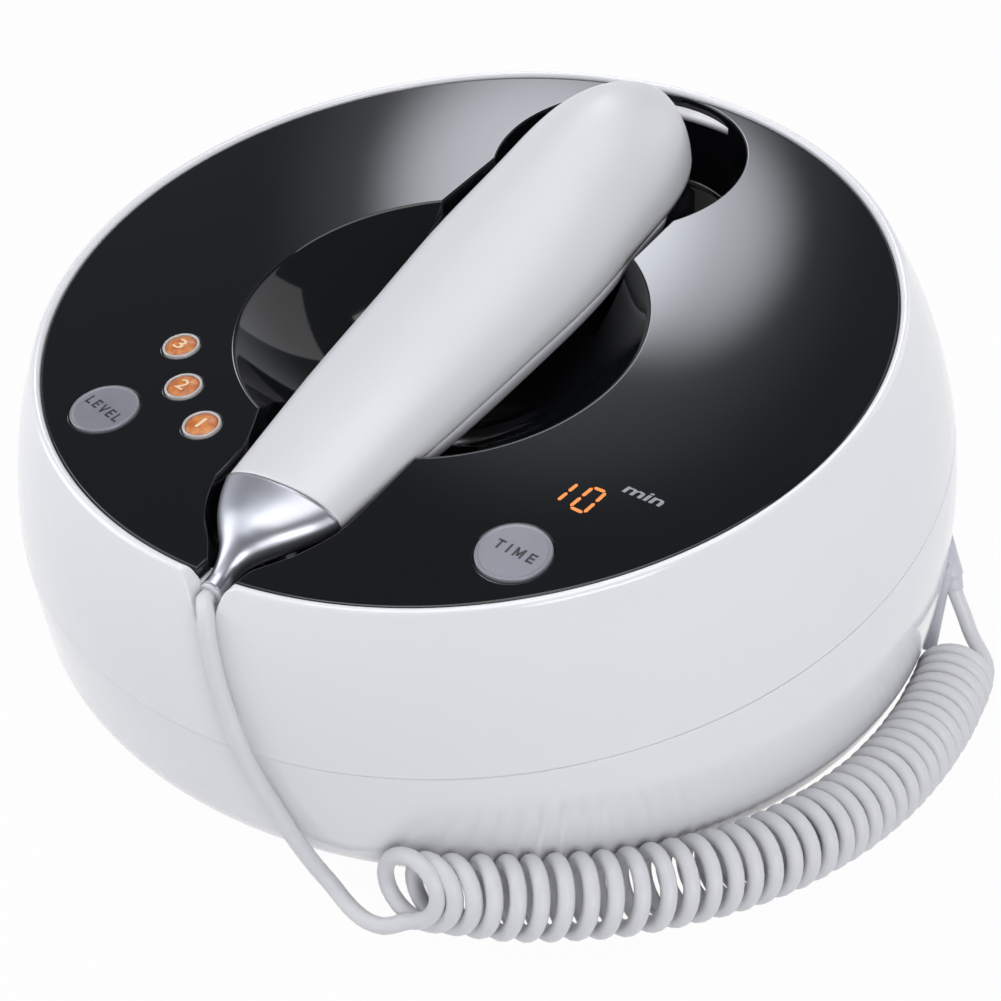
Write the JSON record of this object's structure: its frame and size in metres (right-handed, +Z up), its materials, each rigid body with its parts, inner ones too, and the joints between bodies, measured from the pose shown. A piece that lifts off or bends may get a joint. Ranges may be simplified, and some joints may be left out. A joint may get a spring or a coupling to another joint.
{
  "type": "facial toning device",
  "caption": "Round tabletop skin-toning unit with a tilted black control panel, push buttons, level lamps and a lift-off handpiece on a curly cord.",
  "frame": {"origin": "on the table, under the middle of the casing's box", "axes": "+Z up, +Y from the user to the back of the casing, +X to the user's right"},
  "size_m": [0.2629, 0.2466, 0.1232],
  "materials": {
    "shell_white": "gloss",
    "panel_black": "piano gloss",
    "button_silver": "satin silver paint",
    "lamp_ring": "satin",
    "lamp_amber": "lit amber lens",
    "circuit_board": "solder mask",
    "black_plastic": "matt",
    "grey_plastic": "satin",
    "steel": "zinc plated",
    "core_steel": "varnished laminations",
    "copper_winding": "taped winding",
    "aluminium": "extruded",
    "capacitor_sleeve": "shrink sleeve",
    "relay_blue": "moulded",
    "terminal_green": "moulded",
    "led_lens": "clear lens",
    "rubber": "matt",
    "handle_pearl": "satin pearl",
    "handle_grey": "satin",
    "cone_silver": "satin silver paint",
    "electrode_steel": "polished",
    "cord_white": "satin"
  },
  "bodies": {
    "base": {"upper_shell": "shell_white", "lower_shell": "shell_white", "top_panel": "panel_black", "lamp_rings": "lamp_ring", "lamp_lenses": "lamp_amber", "level_board": "circuit_board", "level_leds": "led_lens", "level_switch": "black_plastic", "display_board": "circuit_board", "display_module": "black_plastic", "time_switch": "black_plastic", "panel_screws": "steel", "board_screws": "steel", "main_board": "circuit_board", "mains_transformer": "core_steel", "output_transformer": "copper_winding", "heat_sink": "aluminium", "power_transistors": "black_plastic", "capacitors": "capacitor_sleeve", "relay": "relay_blue", "fuse": "steel", "terminal_block": "terminal_green", "chassis_screws": "steel", "case_screws": "steel", "rubber_feet": "rubber", "rear_plate": "grey_plastic", "power_inlet": "black_plastic", "switch_frame": "black_plastic", "cord_housing": "grey_plastic", "cord_gland": "grey_plastic", "handset_lead": "cord_white", "handset_curl": "cord_white", "base_lead": "cord_white"},
    "handpiece": {"handle_cover": "handle_pearl", "handle_base": "handle_grey", "tail_cone": "cone_silver", "tail_ring": "handle_grey", "handle_board": "circuit_board", "head_collar": "handle_grey", "electrode_holder": "black_plastic", "electrodes": "electrode_steel", "handle_screws": "steel"},
    "level_key": {"level_button": "button_silver"},
    "time_key": {"time_button": "button_silver"},
    "rocker": {"power_rocker": "black_plastic"}
  },
  "joints": [
    {"name": "handpiece_lift", "type": "slide", "parent": "base", "child": "handpiece", "axis": [0, -0.1642, 0.9864], "range_m": [0, 0.07]},
    {"name": "level_press", "type": "slide", "parent": "base", "child": "level_key", "axis": [0, 0.1642, -0.9864], "range_m": [0, 0.0008], "stiffness_N_per_m": 800, "springref_m": -0.001},
    {"name": "time_press", "type": "slide", "parent": "base", "child": "time_key", "axis": [0, 0.1642, -0.9864], "range_m": [0, 0.0008], "stiffness_N_per_m": 800, "springref_m": -0.001},
    {"name": "rocker_tilt", "type": "hinge", "parent": "base", "child": "rocker", "pos_m": [0.017, 0.112, 0.027], "axis": [0, 0, 1], "range_deg": [-14, 0]}
  ]
}
